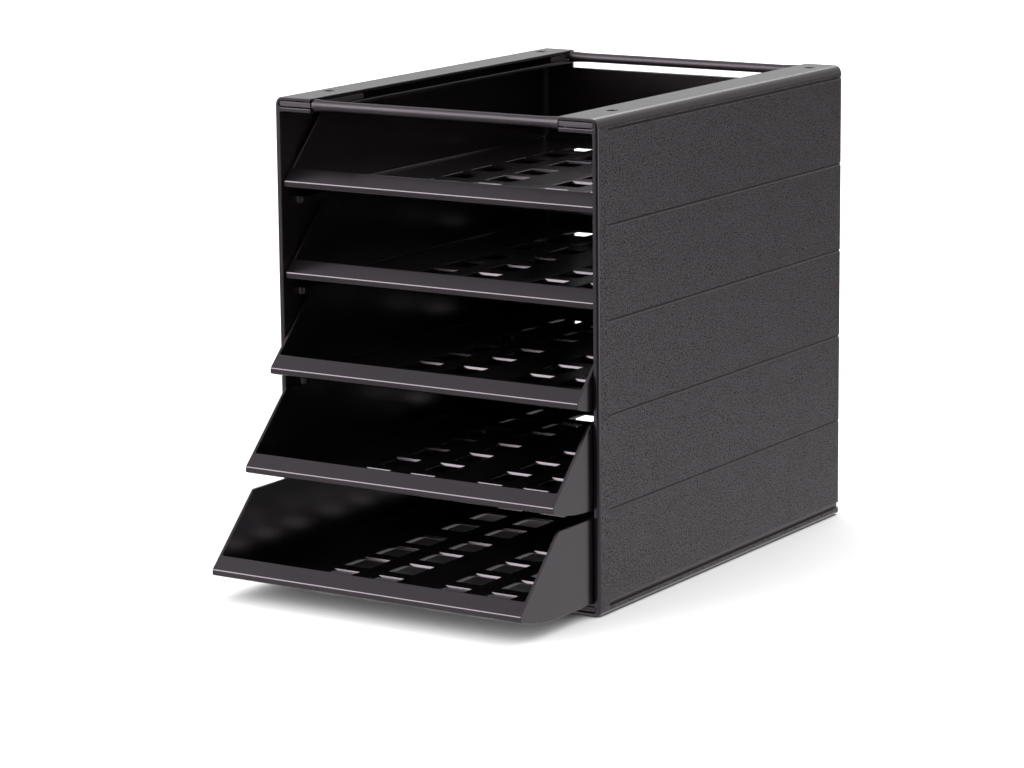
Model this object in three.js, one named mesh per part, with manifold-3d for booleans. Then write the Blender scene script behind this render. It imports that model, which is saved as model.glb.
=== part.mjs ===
// Five-drawer desktop drawer box for paper.
//
// Two moulded sides stand on rubber feet and are tied together by four flared crossbars, front and
// back, top and bottom. Five shallow open-fronted drawers slide on runners moulded inside the sides.
// The three lower drawers rest partly pulled out, so that the stack fans open towards the bottom.
//
// Millimetres, +X to the right seen from the front, +Y to the back, +Z up. The origin is on the
// table, in the middle of the footprint that the box takes up with its drawers as they rest.

import * as THREE from 'three';
import { mergeVertices } from 'three/addons/utils/BufferGeometryUtils.js';
import Module from 'manifold-3d';

const wasm = await Module();
wasm.setup();

// ---------------------------------------------------------------- shared dimensions
// Inside the housing, y = 0 is the front face of the sides.

const WIDTH = 249;              // over the two sides
const DEPTH = 331;              // front face to rear face of a side
const HEIGHT = 322;             // table to top rail
const WALL = 4.1;               // side wall at the front post
const RAIL_W = 29;              // how far the top and bottom channels reach inwards
const FOOT_GAP = 1.0;           // side housing stands this far off the table, on its feet

const TOP_FLANGE = 2.2;         // top channel: upper flange, then slot, then lower flange
const TOP_LOWER = 2.6;
const SLOT_H = 4.8;
const BOT_FLANGE = 1.5;         // bottom channel: lower flange, then slot, then upper flange
const BOT_UPPER = 1.7;
const SLOT_END_WALL = 3.1;      // outer face to the blind end of a slot

const PITCH = 61.4;             // drawer spacing
const GROOVE_0 = 7.4;           // height of the lowest groove line

const SCREW_X = 110;            // screws and feet, either side of the middle
const SCREW_FRONT_Y = 42;
const SCREW_REAR_Y = 309;
const SCREW_PILOT_R = 1.85;
const FOOT_STEM_R = 2.6;
const FOOT_FRONT_Y = 24;
const FOOT_REAR_Y = 288;

const LUG_X0 = 105.3;           // stop lug under a drawer: inner and outer faces
const LUG_X1 = 111.0;

const PAST = 1;                 // cutting solids run this far past the faces they cut
const JOIN = 0.5;               // joined solids sink this far into each other

// derived positions, on the right side
const HALF_W = WIDTH / 2;
const INNER = HALF_W - WALL;                     // post face
const RAIL_IN = HALF_W - RAIL_W;                 // inner edge of the channels
const SLOT_END = HALF_W - SLOT_END_WALL;
const TOP_SLOT_Z1 = HEIGHT - TOP_FLANGE;
const TOP_SLOT_Z0 = TOP_SLOT_Z1 - SLOT_H;
const TOP_UNDER = TOP_SLOT_Z0 - TOP_LOWER;
const BOT_SLOT_Z0 = FOOT_GAP + BOT_FLANGE;
const BOT_SLOT_Z1 = BOT_SLOT_Z0 + SLOT_H;
const BOT_OVER = BOT_SLOT_Z1 + BOT_UPPER;
const BAR_TOP_Z = TOP_SLOT_Z0 + SLOT_H / 2;
const BAR_BOT_Z = BOT_SLOT_Z0 + SLOT_H / 2;

const grooveZ = (k) => GROOVE_0 + PITCH * k;     // k = 0 is the lowest

// ---------------------------------------------------------------- solids

function solid(geometry) {
  geometry.deleteAttribute('normal');
  geometry.deleteAttribute('uv');
  const merged = mergeVertices(geometry, 1e-4);
  return new wasm.Manifold(new wasm.Mesh({
    numProp: 3,
    vertProperties: new Float32Array(merged.getAttribute('position').array),
    triVerts: new Uint32Array(merged.index.array),
  }));
}

function geometryOf(manifold) {
  const mesh = manifold.getMesh();
  const positions = new Float32Array(mesh.vertProperties);
  const geometry = new THREE.BufferGeometry();
  geometry.setAttribute('position', new THREE.BufferAttribute(positions, 3));
  geometry.setIndex(new THREE.BufferAttribute(new Uint32Array(mesh.triVerts), 1));
  geometry.computeVertexNormals();
  return geometry;
}

function box(x0, x1, y0, y1, z0, z1) {
  const geometry = new THREE.BoxGeometry(x1 - x0, y1 - y0, z1 - z0);
  return solid(geometry.translate((x0 + x1) / 2, (y0 + y1) / 2, (z0 + z1) / 2));
}

const vectors = (pairs) => pairs.map(([a, b]) => new THREE.Vector2(a, b));

function extrude(points, length) {
  const shape = new THREE.Shape(vectors(points));
  return new THREE.ExtrudeGeometry(shape, { depth: length, bevelEnabled: false, steps: 1 });
}

// the matrix that turns the x, y and z axes to the three directions given
const turnTo = (...axes) => new THREE.Matrix4().makeBasis(
  ...axes.map((axis) => new THREE.Vector3(...axis)));
const SECTION_XZ = turnTo([1, 0, 0], [0, 0, 1], [0, -1, 0]);
const SECTION_YZ = turnTo([0, 1, 0], [0, 0, 1], [1, 0, 0]);

// points are (x, z), swept from y0 to y1
function prismY(points, y0, y1) {
  return solid(extrude(points, y1 - y0).applyMatrix4(SECTION_XZ).translate(0, y1, 0));
}

// points are (y, z), swept from x0 to x1
function prismX(points, x0, x1) {
  return solid(extrude(points, x1 - x0).applyMatrix4(SECTION_YZ).translate(x0, 0, 0));
}

// points are (x, y), swept from z0 to z1
function prismZ(points, z0, z1) {
  return solid(extrude(points, z1 - z0).translate(0, 0, z0));
}

// upright cylinder
function rod(radius, x, y, z0, z1, segments) {
  const geometry = new THREE.CylinderGeometry(radius, radius, z1 - z0, segments);
  return solid(geometry.rotateX(Math.PI / 2).translate(x, y, (z0 + z1) / 2));
}

// profile is (radius, height), turned about the y axis
const lathe = (profile, segments) => new THREE.LatheGeometry(vectors(profile), segments);

// the same, turned about the z axis
const turned = (profile, segments) => solid(lathe(profile, segments).rotateX(Math.PI / 2));

// arc between two angles in degrees, end points included
function arc(centreA, centreB, radius, fromDeg, toDeg, steps) {
  const points = [];
  for (let i = 0; i <= steps; i++) {
    const angle = THREE.MathUtils.degToRad(fromDeg + ((toDeg - fromDeg) * i) / steps);
    points.push([centreA + radius * Math.cos(angle), centreB + radius * Math.sin(angle)]);
  }
  return points;
}

const mirrored = (part) => part.mirror([1, 0, 0]);
const cutAll = (base, cutters) => cutters.reduce((rest, cutter) => rest.subtract(cutter), base);

// ---------------------------------------------------------------- side housing

const R_TOP = 6;                // outer edge radius along the top rail
const R_BOT = 2.2;              // along the bottom rail
const R_FRONT = 2.4;            // down the front post
const R_REAR = 2.4;             // down the rear corner
const REAR_FLANGE_T = 2.4;      // vertical flange behind the drawers
const SLOT_ROUND_PAST = 0.05;   // a slot's round end reaches this far past SLOT_END

const WALL_THIN = 2.7;          // side wall between the runners
const THIN_FRONT = 17;          // front edge of the thinner wall
const THIN_REAR = 14;           // its rear edge, ahead of the rear face
const THIN_ABOVE_RAIL = 3;      // full-thickness bands next to the rails and runners
const THIN_BELOW_RAIL = 4;
const THIN_ABOVE_RUNNER = 2;
const THIN_BELOW_RUNNER = 3;

const GROOVE_TOP = 313.8;       // groove line under the top rail
const GROOVE_START = 12.5;      // plain border in front of the grooves
const GROOVE_DEEP = 1.4;
const GROOVE_HALF = 1.1;        // half width, reached this far outside the face:
const GROOVE_OUT = 0.2;
const LOW_GROOVE_HALF = 1.9;    // the lowest groove is a wide flat-bottomed step

const RUNNER_IN = 8;            // reach inwards from the post face
const RUNNER_UP = 1.6;          // top above the groove line
const RUNNER_DOWN = 3.0;        // underside below the groove line
const RUNNER_FRONT = 15.5;      // start of the straight part
const RUNNER_NOSE_R = 4;
const STOP_IN = 15.9;           // stop boss: reach inwards from the post face
const STOP_FRONT = 78.5;        // stop boss: front and rear faces
const STOP_REAR = 84.5;

const LUG_SLOT_IN = 1.1;        // room around the lowest drawer's lugs: inner, outer side
const LUG_SLOT_OUT = 0.8;
const LUG_SLOT_REAR = 0.6;      // slot end to rear flange

const SCREW_HOLE_R = 3.7;
const FOOT_SOCKET_GAP = 0.3;

// Cross-section of the right side, seen from the front: wall, top and bottom channels with a
// slot for the crossbar tongues in each.
function sideSection() {
  const radius = SLOT_H / 2;
  const slotOutline = (z0, z1) => [
    [RAIL_IN, z0],
    ...arc(SLOT_END + SLOT_ROUND_PAST - radius, z0 + radius, radius, -90, 90, 8),
    [RAIL_IN, z1],
  ];
  return [
    [RAIL_IN, HEIGHT],
    ...arc(HALF_W - R_TOP, HEIGHT - R_TOP, R_TOP, 90, 0, 8),
    ...arc(HALF_W - R_BOT, FOOT_GAP + R_BOT, R_BOT, 0, -90, 4),
    [RAIL_IN, FOOT_GAP],
    ...slotOutline(BOT_SLOT_Z0, BOT_SLOT_Z1),
    [RAIL_IN, BOT_OVER],
    [INNER, BOT_OVER],
    [INNER, TOP_UNDER],
    [RAIL_IN, TOP_UNDER],
    ...slotOutline(TOP_SLOT_Z0, TOP_SLOT_Z1),
  ];
}

// plan that rounds the front post and the rear corner
function sidePlan() {
  return [
    [RAIL_IN - PAST, 0],
    ...arc(HALF_W - R_FRONT, R_FRONT, R_FRONT, -90, 0, 4),
    ...arc(HALF_W - R_REAR, DEPTH - R_REAR, R_REAR, 0, 90, 5),
    [RAIL_IN - PAST, DEPTH],
  ];
}

// pockets that thin the wall from the inside
function wallPockets() {
  const pockets = [];
  for (let k = 0; k < 5; k++) {
    const low = k === 0
      ? BOT_OVER + THIN_ABOVE_RAIL
      : grooveZ(k) + RUNNER_UP + THIN_ABOVE_RUNNER;
    const high = k === 4
      ? TOP_UNDER - THIN_BELOW_RAIL
      : grooveZ(k + 1) - RUNNER_DOWN - THIN_BELOW_RUNNER;
    pockets.push(box(INNER - PAST, HALF_W - WALL_THIN, THIN_FRONT, DEPTH - THIN_REAR, low, high));
  }
  return pockets;
}

// runner with a rounded nose and a stop boss
function runner(k) {
  const z0 = grooveZ(k) - RUNNER_DOWN;
  const z1 = grooveZ(k) + RUNNER_UP;
  const edge = INNER - RUNNER_IN;
  const rear = DEPTH - REAR_FLANGE_T + JOIN;
  const plan = [
    [INNER + JOIN, RUNNER_FRONT - RUNNER_NOSE_R],
    [INNER + JOIN, rear],
    [edge, rear],
    ...arc(edge + RUNNER_NOSE_R, RUNNER_FRONT, RUNNER_NOSE_R, 180, 270, 6),
  ];
  const stop = box(INNER - STOP_IN, edge + JOIN, STOP_FRONT, STOP_REAR, z0, z1);
  return prismZ(plan, z0, z1).add(stop);
}

// groove lines along the outside
function grooves() {
  const widest = HALF_W + GROOVE_OUT;
  const lines = [grooveZ(1), grooveZ(2), grooveZ(3), grooveZ(4), GROOVE_TOP];
  const cutters = lines.map((z) => prismY([
    [HALF_W - GROOVE_DEEP, z],
    [widest, z - GROOVE_HALF],
    [widest, z + GROOVE_HALF],
  ], GROOVE_START, DEPTH + PAST));
  cutters.push(box(HALF_W - GROOVE_DEEP, HALF_W + PAST, GROOVE_START, DEPTH + PAST,
    GROOVE_0 - LOW_GROOVE_HALF, GROOVE_0 + LOW_GROOVE_HALF));
  return cutters;
}

// screw holes in both flanges of each channel, and the foot sockets
function flangeHoles() {
  const hole = (radius, y, z0, z1, segments) =>
    rod(radius, SCREW_X, y, z0 - PAST, z1 + PAST, segments);
  const holes = [];
  for (const y of [SCREW_FRONT_Y, SCREW_REAR_Y]) {
    holes.push(hole(SCREW_HOLE_R, y, TOP_SLOT_Z1, HEIGHT, 32));
    holes.push(hole(SCREW_PILOT_R, y, TOP_UNDER, TOP_SLOT_Z0, 16));
    holes.push(hole(SCREW_HOLE_R, y, FOOT_GAP, BOT_SLOT_Z0, 32));
    holes.push(hole(SCREW_PILOT_R, y, BOT_SLOT_Z1, BOT_OVER, 16));
  }
  for (const y of [FOOT_FRONT_Y, FOOT_REAR_Y]) {
    holes.push(hole(FOOT_STEM_R + FOOT_SOCKET_GAP, y, FOOT_GAP, BOT_SLOT_Z0, 20));
  }
  return holes;
}

function rightSide() {
  let side = prismY(sideSection(), 0, DEPTH).intersect(prismZ(sidePlan(), -PAST, HEIGHT + PAST));
  side = cutAll(side, wallPockets());

  // vertical flange behind the drawers
  side = side.add(box(RAIL_IN, INNER + JOIN, DEPTH - REAR_FLANGE_T, DEPTH,
    BOT_OVER - JOIN, TOP_UNDER + JOIN));

  for (let k = 1; k < 5; k++) side = side.add(runner(k));

  // the lowest drawer slides on the bottom channel, its stop lug in a slot
  const lugSlot = box(LUG_X0 - LUG_SLOT_IN, LUG_X1 + LUG_SLOT_OUT,
    STOP_REAR, DEPTH - REAR_FLANGE_T - LUG_SLOT_REAR, BOT_SLOT_Z1 - PAST, BOT_OVER + PAST);
  return cutAll(side, [...grooves(), lugSlot, ...flangeHoles()]);
}

// ---------------------------------------------------------------- crossbar

const BAR_R = 3.35;
const BAR_FLARE_R = 4.1;        // radius where it meets the rails
const BAR_FLARE_L = 18;
const BAR_FLARE_STEPS = 5;
const BAR_END_GAP = 0.5;        // bar end to rail
const BAR_INSET = 4.7;          // centre line in from the front or rear face
const TONGUE_T = 4.2;
const TONGUE_FRONT_L = 62;      // reach of the front and rear tongues from that face
const TONGUE_REAR_L = 31;
const TONGUE_SETBACK = 0.6;     // near edge of a tongue in from that face
const TONGUE_GAP = 0.3;         // inner edge of a tongue, outwards of the channel edge
const TONGUE_END_GAP = 0.35;    // tongue end to slot end
const NECK_LAP = 2;             // the neck between bar and tongue laps this far into each
const NECK_HALF_W = 3.4;
const NECK_STEP = 0.05;         // neck faces below the tongue faces

// Lathed bar with flared ends, and a flat tongue with a rounded outer edge at each end. The bar's
// centre line is at y = 0 and z = 0. The arguments are y positions in the housing.
function crossbar(barY, tongueY0, tongueY1, screwY) {
  const halfLength = RAIL_IN - BAR_END_GAP;
  const flare = [];             // [radius, distance from the bar's end]
  for (let i = 0; i <= BAR_FLARE_STEPS; i++) {
    const t = i / BAR_FLARE_STEPS;
    flare.push([BAR_R + (BAR_FLARE_R - BAR_R) * (1 - t) ** 2, BAR_FLARE_L * t]);
  }
  const profile = [
    [0, -halfLength],
    ...flare.map(([radius, distance]) => [radius, -halfLength + distance]),
    ...flare.reverse().map(([radius, distance]) => [radius, halfLength - distance]),
    [0, halfLength],
  ];
  const bar = solid(lathe(profile, 20).rotateZ(-Math.PI / 2));

  const radius = TONGUE_T / 2;
  const tongueIn = RAIL_IN + TONGUE_GAP;
  const section = [
    [tongueIn, -radius],
    ...arc(SLOT_END - TONGUE_END_GAP - radius, 0, radius, -90, 90, 8),
    [tongueIn, radius],
  ];
  const neck = box(halfLength - NECK_LAP, tongueIn + NECK_LAP, -NECK_HALF_W, NECK_HALF_W,
    -radius + NECK_STEP, radius - NECK_STEP);
  const tongue = prismY(section, tongueY0 - barY, tongueY1 - barY)
    .add(neck)
    .subtract(rod(SCREW_PILOT_R, SCREW_X, screwY - barY, -radius - PAST, radius + PAST, 16));
  return bar.add(tongue).add(mirrored(tongue));
}

// ---------------------------------------------------------------- drawer
// y = 0 is the nose, z = 0 the underside of the floor

const DRAWER_W = 239.4;         // over the drawer walls
const DRAWER_L = 325.5;         // nose to rear wall
const DRAWER_H = 56;
const DRAWER_T = 2.1;           // walls
const REAR_DROP = 1.2;          // rear wall's top below the side walls' top
const FLOOR_T = 2.2;
const NOSE_Z = 10.9;            // nose line above the drawer's underside
const NOSE_STRIP = 4.0;         // plain strip under the nose line
const STRIP_EDGE_Y = 0.5;       // small bevel under the strip
const STRIP_EDGE_Z = 0.3;
const LIP_RISE = 7.8;           // lip crest above the nose line
const LIP_CREST_W = 0.4;        // flat top of the lip
const LIP_BEVEL_H = 0.9;        // bevel behind the crest, and how far it falls short in y
const LIP_BEVEL_Y = 0.3;
const LIP_HEEL_Y = 0.2;         // foot of the lip's inner face, off the true wall thickness
const LIP_HEEL_Z = 0.6;
const WALL_SLANT = 45.5;        // how far the wall's front edge leans back
const WALL_CORNER_R = 3;        // top corner of that edge
const RAMP_L = 45;              // length of the curved underside behind the nose
const RAMP_STEPS = 7;
const RAMP_EXTRA_T = 0.05;      // extra floor thickness over the ramp
const LUG_H = 2.2;              // stop lugs under the rear of the floor
const LUG_L = 6;
const LUG_FRONT = 5.9;          // front of a lug, ahead of the rear wall's inner face

// floor openings: columns by their centres, rows by their rear edges behind the nose
const HOLE_X = [-62, -26.5, 26.5, 62];
const HOLE_W = 20;
const HOLE_L = 25;
const HOLE_ROWS = [71.5, 107.5, 143.5, 179.5, 224, 260, 296];

// underside of the nose, from the plain strip back to the flat floor: [y, z]
function rampPoints(raise) {
  const points = [];
  for (let i = 0; i <= RAMP_STEPS; i++) {
    const t = i / RAMP_STEPS;
    points.push([
      STRIP_EDGE_Y + (RAMP_L - STRIP_EDGE_Y) * t,
      (NOSE_Z - NOSE_STRIP) * (1 - t) ** 2 + raise,
    ]);
  }
  return points;
}

function drawer() {
  const halfW = DRAWER_W / 2;
  const cavityHalfW = halfW - DRAWER_T;
  const rearInner = DRAWER_L - DRAWER_T;
  const crest = NOSE_Z + LIP_RISE;
  const crestY = (WALL_SLANT * LIP_RISE) / (DRAWER_H - NOSE_Z);
  const slope = Math.atan2(DRAWER_H - NOSE_Z, WALL_SLANT);

  // outer block: plain strip, slanted front with a rounded top corner, curved underside
  const cornerY = WALL_SLANT + WALL_CORNER_R * Math.tan(slope / 2);
  const slopeDeg = THREE.MathUtils.radToDeg(slope);
  const block = prismX([
    [0, NOSE_Z - NOSE_STRIP + STRIP_EDGE_Z],
    ...rampPoints(0),
    [DRAWER_L, 0],
    [DRAWER_L, DRAWER_H],
    ...arc(cornerY, DRAWER_H - WALL_CORNER_R, WALL_CORNER_R, 90, 90 + slopeDeg, 4),
    [0, NOSE_Z],
  ], -halfW, halfW);

  // cavity: open at the top and, above the lip, at the front
  const lipY = FLOOR_T * Math.sin(slope);
  const cavity = prismX([
    [-PAST, crest],
    [crestY + LIP_CREST_W, crest],
    [crestY + lipY - LIP_BEVEL_Y, crest - LIP_BEVEL_H],
    [lipY + LIP_HEEL_Y, NOSE_Z - FLOOR_T * Math.cos(slope) + LIP_HEEL_Z],
    ...rampPoints(FLOOR_T + RAMP_EXTRA_T).slice(1),
    [rearInner, FLOOR_T],
    [rearInner, DRAWER_H + PAST],
    [-PAST, DRAWER_H + PAST],
  ], -cavityHalfW, cavityHalfW);

  const lugY = rearInner - LUG_FRONT;
  const lug = box(LUG_X0, LUG_X1, lugY, lugY + LUG_L, -LUG_H, JOIN);

  const openings = HOLE_X.flatMap((x) => HOLE_ROWS.map((y) =>
    box(x - HOLE_W / 2, x + HOLE_W / 2, y - HOLE_L, y, -PAST, FLOOR_T + PAST)));
  // the rear wall is a little lower than the side walls
  const rearCut = box(-cavityHalfW, cavityHalfW, rearInner - PAST, DRAWER_L + PAST,
    DRAWER_H - REAR_DROP, DRAWER_H + PAST);
  const body = block.subtract(cavity).add(lug).add(mirrored(lug));
  return cutAll(body, [...openings, rearCut]);
}

// ---------------------------------------------------------------- small parts

const SCREW_HEAD_R = 3.2;
const SCREW_HEAD_H = 1.5;
const SCREW_SHANK_R = 1.5;
const SCREW_TIP_R = 0.5;
const SCREW_L = 6.2;            // under the head
const SCREW_STRAIGHT_L = 4.9;
const SCREW_GAP = 0.15;         // head to tongue
const RECESS_REACH = 1.7;       // cross recess: arm length, half width, depth
const RECESS_HALF_W = 0.35;
const RECESS_DEEP = 0.9;

const FOOT_R = 7;
const FOOT_H = 0.9;
const FOOT_BEVEL = 0.3;
const FOOT_STEM_H = 1.3;

// pan-head screw with a cross recess, head up, underside of the head at z = 0
function screw() {
  const body = turned([
    [0, -SCREW_L],
    [SCREW_TIP_R, -SCREW_L],
    [SCREW_SHANK_R, -SCREW_STRAIGHT_L],
    [SCREW_SHANK_R, 0],
    [SCREW_HEAD_R, 0],
    [SCREW_HEAD_R, SCREW_HEAD_H * 0.55],
    [SCREW_HEAD_R * 0.82, SCREW_HEAD_H * 0.9],
    [SCREW_HEAD_R * 0.5, SCREW_HEAD_H],
    [0, SCREW_HEAD_H],
  ], 14);
  const arm = (halfX, halfY) => box(-halfX, halfX, -halfY, halfY,
    SCREW_HEAD_H - RECESS_DEEP, SCREW_HEAD_H + PAST);
  return cutAll(body, [arm(RECESS_REACH, RECESS_HALF_W), arm(RECESS_HALF_W, RECESS_REACH)]);
}

// push-in rubber foot, standing on z = 0
function foot() {
  return turned([
    [0, 0],
    [FOOT_R - FOOT_BEVEL, 0],
    [FOOT_R, FOOT_BEVEL],
    [FOOT_R, FOOT_H],
    [FOOT_STEM_R, FOOT_H],
    [FOOT_STEM_R, FOOT_H + FOOT_STEM_H],
    [0, FOOT_H + FOOT_STEM_H],
  ], 18);
}

// ---------------------------------------------------------------- materials

const material = (options) => new THREE.MeshStandardMaterial({ metalness: 0, ...options });
const sidePlastic = material({ name: 'side_plastic', color: 0x2f2a2c, roughness: 0.62 });
const barPlastic = material({ name: 'bar_plastic', color: 0x2b2628, roughness: 0.45 });
const drawerPlastic = material({ name: 'drawer_plastic', color: 0x2a2628, roughness: 0.4 });
const rubber = material({ name: 'foot_rubber', color: 0x161616, roughness: 0.9 });
const steel = material({ name: 'screw_steel', color: 0x1c1c1e, roughness: 0.35, metalness: 0.9 });

// ---------------------------------------------------------------- assembly

const CLOSED_Y = 2.0;           // nose of a closed drawer behind the front face of the sides
const DRAWER_LIFT = 1.9;        // underside of a drawer above its groove line
const PULLED = [0, 0, 20, 50, 89]; // how far each drawer is pulled out, top to bottom

const noseY = (n) => CLOSED_Y - PULLED[n];       // n = 0 is the top drawer

const group = new THREE.Group();
const housing = new THREE.Group();
// centres the resting footprint, lowest drawer's nose to rear face, on y = 0
housing.position.set(0, -(DEPTH + noseY(4)) / 2, 0);
group.add(housing);

function place(name, part, finish, x = 0, y = 0, z = 0) {
  const mesh = new THREE.Mesh(geometryOf(part), finish.clone());
  mesh.name = name;
  mesh.position.set(x, y, z);
  housing.add(mesh);
  return mesh;
}

function atCorners(frontY, rearY, visit) {
  for (const [side, sign] of [['left', -1], ['right', 1]]) {
    for (const [end, y] of [['front', frontY], ['rear', rearY]]) {
      visit(`${end}_${side}`, sign * SCREW_X, y);
    }
  }
}

const right = rightSide();
place('side_right', right, sidePlastic);
place('side_left', mirrored(right), sidePlastic);

const rearBarY = DEPTH - BAR_INSET;
const frontBar = crossbar(BAR_INSET, TONGUE_SETBACK, TONGUE_FRONT_L, SCREW_FRONT_Y);
const rearBar = crossbar(rearBarY, DEPTH - TONGUE_REAR_L, DEPTH - TONGUE_SETBACK, SCREW_REAR_Y);
for (const [level, z] of [['top', BAR_TOP_Z], ['bottom', BAR_BOT_Z]]) {
  place(`crossbar_front_${level}`, frontBar, barPlastic, 0, BAR_INSET, z);
  place(`crossbar_rear_${level}`, rearBar, barPlastic, 0, rearBarY, z);
}

// screws: heads in the outer flange, on the tongue
const screwSolid = screw();
const headOffset = TONGUE_T / 2 + SCREW_GAP;
atCorners(SCREW_FRONT_Y, SCREW_REAR_Y, (corner, x, y) => {
  place(`screw_top_${corner}`, screwSolid, steel, x, y, BAR_TOP_Z + headOffset);
  const low = place(`screw_bottom_${corner}`, screwSolid, steel, x, y, BAR_BOT_Z - headOffset);
  low.rotation.x = Math.PI;
});

const footSolid = foot();
atCorners(FOOT_FRONT_Y, FOOT_REAR_Y, (corner, x, y) => {
  place(`foot_${corner}`, footSolid, rubber, x, y);
});

const drawerSolid = drawer();
for (let n = 0; n < 5; n++) {
  place(`drawer_${n + 1}`, drawerSolid, drawerPlastic, 0, noseY(n), grooveZ(4 - n) + DRAWER_LIFT);
}

export default group;
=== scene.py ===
"""A black plastic desk cabinet: two moulded sides held by four crossbars, with five drawers.

x runs to the right and is 0 in the middle, y runs from the front to the back, z is up.
Pieces are modelled in millimetres with y = 0 at the front face of the sides; settle() turns
them into metres and moves y to the frame's origin.
"""
import math

import bmesh
import bpy
import numpy as np
from mathutils import Matrix, Vector


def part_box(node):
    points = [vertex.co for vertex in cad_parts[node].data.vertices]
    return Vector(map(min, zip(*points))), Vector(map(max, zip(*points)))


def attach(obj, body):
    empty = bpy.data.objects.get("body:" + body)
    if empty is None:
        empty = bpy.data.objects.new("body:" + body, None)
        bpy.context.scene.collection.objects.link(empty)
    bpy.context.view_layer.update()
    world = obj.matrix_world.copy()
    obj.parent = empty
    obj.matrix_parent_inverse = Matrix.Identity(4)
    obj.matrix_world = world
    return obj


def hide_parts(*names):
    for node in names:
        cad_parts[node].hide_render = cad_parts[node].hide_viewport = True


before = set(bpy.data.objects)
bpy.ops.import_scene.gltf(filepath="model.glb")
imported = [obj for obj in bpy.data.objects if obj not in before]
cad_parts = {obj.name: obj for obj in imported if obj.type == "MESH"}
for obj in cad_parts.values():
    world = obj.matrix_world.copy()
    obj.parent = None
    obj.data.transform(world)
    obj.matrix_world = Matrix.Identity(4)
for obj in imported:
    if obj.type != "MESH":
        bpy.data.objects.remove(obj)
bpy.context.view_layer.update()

# ------------------------------------------------------------------ dimensions, millimetres

FRONT = -122.0              # the sides' front face in the frame's y
HALF_W = 124.5              # housing
DEPTH = 331.0
HEIGHT = 322.0
GAP = 1.0                   # underside of the sides above the floor
R_TOP = 6.0                 # outer edges of the sides, seen from the front
R_BOTTOM = 2.2
INNER = 120.4               # inner face of the side wall
THIN_X = HALF_W - 2.7       # the same where the wall is thinned
RAIL_IN = 95.5              # inner edge of the top, bottom and rear flanges
TOP_UNDER = 312.4           # underside of the top flange
BOTTOM_OVER = 9.0           # upper side of the bottom flange
REAR_T = 2.4

SLOT_H = 4.8                # slots in the flanges that take the crossbars' tongues
TOP_SLOT = 315.0            # their lower faces
BOTTOM_SLOT = 2.5
TOP_SLOT_END = TOP_SLOT + SLOT_H
BOTTOM_SLOT_END = BOTTOM_SLOT + SLOT_H
SLOT_X = HALF_W - 3.1

DRAWERS = 5
PITCH = 61.4
GROOVES = [7.4 + PITCH * k for k in range(DRAWERS)]     # grooves outside, runners inside
TOP_GROOVE = 313.8

FIXING_X = 110.0            # screws and feet
SCREW_Y = {"front": 42.0, "rear": 309.0}
FOOT_Y = {"front": 24.0, "rear": 288.0}
PILOT_R = 1.85
SCREW_HEAD = 1.5

# ------------------------------------------------------------------ mesh tools
# A part is (vertices, faces). An outline is drawn in a, b and carried along t.

COLUMNS = {"x": (2, 0, 1), "y": (0, 2, 1), "z": (0, 1, 2)}    # order of (a, b, t) as x, y, z


def fillet(corners, segments=4):
    """corners (a, b, radius[, segments]) -> rounded outline, and the corner of each point"""
    points, sources = [], []
    for i, (a, b, radius, *own) in enumerate(corners):
        corner = np.array((a, b), float)
        if radius <= 0:
            points.append(corner)
            sources.append(i)
            continue
        steps = own[0] if own else segments
        back = np.array(corners[i - 1][:2], float) - corner
        ahead = np.array(corners[(i + 1) % len(corners)][:2], float) - corner
        back /= np.linalg.norm(back)
        ahead /= np.linalg.norm(ahead)
        angle = math.acos(max(-1, min(1, float(back @ ahead))))
        reach = radius / math.tan(angle / 2)
        middle = (back + ahead) / np.linalg.norm(back + ahead)
        centre = corner + middle * radius / math.sin(angle / 2)
        first = corner + back * reach - centre
        last = corner + ahead * reach - centre
        start = math.atan2(first[1], first[0])
        turn = math.atan2(last[1], last[0]) - start
        turn = (turn + math.pi) % (2 * math.pi) - math.pi
        for j in range(steps + 1):
            theta = start + turn * j / steps
            points.append(centre + radius * np.array([math.cos(theta), math.sin(theta)]))
            sources.append(i)
    return np.array(points), np.array(sources)


def rectangle(a0, a1, b0, b1, radius, far_radius=None):
    """four corners; far_radius is for the two at a1"""
    far = radius if far_radius is None else far_radius
    return [(a0, b0, radius), (a1, b0, far), (a1, b1, far), (a0, b1, radius)]


def inward(points):
    """mitre vectors that move each point of a closed outline into it by one unit"""
    after = np.roll(points, -1, 0)
    area = np.sum(points[:, 0] * after[:, 1] - after[:, 0] * points[:, 1])
    edges = after - points
    edges /= np.linalg.norm(edges, axis=1)[:, None]
    sign = 1.0 if area > 0 else -1.0
    normals = sign * np.stack([-edges[:, 1], edges[:, 0]], 1)
    before = np.roll(normals, 1, 0)
    return (normals + before) / (1 + np.sum(normals * before, 1))[:, None]


def place(points, t, axis):
    t = np.broadcast_to(np.asarray(t, float), (len(points),))
    return np.column_stack([points[:, 0], points[:, 1], t])[:, COLUMNS[axis]]


def loft(rings):
    count = len(rings[0])
    faces = []
    for k in range(len(rings) - 1):
        low, high = k * count, (k + 1) * count
        for i in range(count):
            j = (i + 1) % count
            faces.append((low + i, low + j, high + j, high + i))
    faces.append(tuple(range(count - 1, -1, -1)))
    faces.append(tuple((len(rings) - 1) * count + i for i in range(count)))
    return np.concatenate(rings), faces


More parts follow.
